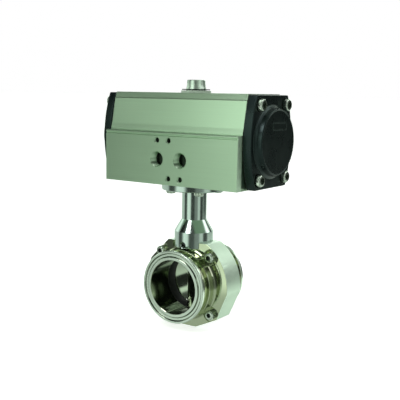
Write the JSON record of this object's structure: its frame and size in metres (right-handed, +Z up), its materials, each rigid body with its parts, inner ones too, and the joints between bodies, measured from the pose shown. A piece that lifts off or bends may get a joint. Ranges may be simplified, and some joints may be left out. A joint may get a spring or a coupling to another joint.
{
  "type": "pneumatic actuated butterfly valve",
  "caption": "Sanitary clamp-end butterfly valve on a round stainless yoke, turned a quarter turn by a rack-and-pinion pneumatic actuator with black end caps.",
  "frame": {"origin": "where the pipe axis crosses the stem axis, in the middle of the valve body, where the pipe line holds the part", "axes": "+Z up along the stem from the valve to the actuator, +Y along the pipe away from the side with the air ports, +X along the actuator's cylinder"},
  "size_m": [0.1648, 0.0744, 0.2162],
  "materials": {
    "anodised_aluminium": "brushed extrusion, clear anodised, cool green-grey under the studio light",
    "black_coated_cap": "satin black powder coat on a die-cast cap",
    "polished_stainless": "polished stainless steel, lathe-turned, with a satin band round the edge",
    "turned_stainless": "finely turned bright stainless steel",
    "bright_fastener": "bright stainless socket-head screws and nuts",
    "blackened_steel": "blackened spring steel",
    "machined_steel": "machined and plated steel",
    "cast_aluminium": "die-cast aluminium",
    "black_rubber": "matte black EPDM and nitrile rubber",
    "bearing_polymer": "pale filled acetal"
  },
  "bodies": {
    "valve_and_actuator": {"actuator_housing": "anodised_aluminium", "body_bolt_1": "bright_fastener", "body_bolt_2": "bright_fastener", "body_bolt_3": "bright_fastener", "body_bolt_4": "bright_fastener", "body_nut_1": "bright_fastener", "body_nut_2": "bright_fastener", "body_nut_3": "bright_fastener", "body_nut_4": "bright_fastener", "cap_gasket_left": "black_rubber", "cap_gasket_right": "black_rubber", "cap_screw_left_1": "bright_fastener", "cap_screw_left_2": "bright_fastener", "cap_screw_left_3": "bright_fastener", "cap_screw_left_4": "bright_fastener", "cap_screw_right_1": "bright_fastener", "cap_screw_right_2": "bright_fastener", "cap_screw_right_3": "bright_fastener", "cap_screw_right_4": "bright_fastener", "end_cap_left": "black_coated_cap", "end_cap_right": "black_coated_cap", "lower_pinion_bush": "bearing_polymer", "lower_pinion_seal": "black_rubber", "lower_stem_bush": "bearing_polymer", "seat_ring": "black_rubber", "set_screw_front": "blackened_steel", "set_screw_rear": "blackened_steel", "thrust_washer": "bearing_polymer", "upper_pinion_bush": "bearing_polymer", "upper_pinion_seal": "black_rubber", "upper_stem_bush": "bearing_polymer", "valve_body_front": "polished_stainless", "valve_body_rear": "polished_stainless", "yoke": "turned_stainless", "yoke_screw_1": "bright_fastener", "yoke_screw_2": "bright_fastener", "yoke_screw_3": "bright_fastener", "yoke_screw_4": "bright_fastener"},
    "drive_train": {"disc_and_stem": "polished_stainless", "stem_coupling": "machined_steel", "drive_pinion": "machined_steel", "snap_ring": "blackened_steel"},
    "left_piston": {"piston_left": "cast_aluminium", "piston_seal_left": "black_rubber", "piston_band_left": "bearing_polymer", "rack_guide_left": "bearing_polymer"},
    "right_piston": {"piston_right": "cast_aluminium", "piston_seal_right": "black_rubber", "piston_band_right": "bearing_polymer", "rack_guide_right": "bearing_polymer"}
  },
  "joints": [
    {"name": "disc_turn", "type": "hinge", "parent": "valve_and_actuator", "child": "drive_train", "pos_m": [0, 0, 0], "axis": [0, 0, 1], "range_deg": [-45, 45]},
    {"name": "left_piston_slide", "type": "slide", "parent": "valve_and_actuator", "child": "left_piston", "axis": [1, 0, 0], "range_m": [-0.00785, 0.00785]},
    {"name": "right_piston_slide", "type": "slide", "parent": "valve_and_actuator", "child": "right_piston", "axis": [1, 0, 0], "range_m": [-0.00785, 0.00785]}
  ],
  "couplings": [
    {"joint": "disc_turn", "follows": "left_piston_slide", "rad_per_m": 100},
    {"joint": "right_piston_slide", "follows": "left_piston_slide", "ratio": -1}
  ]
}
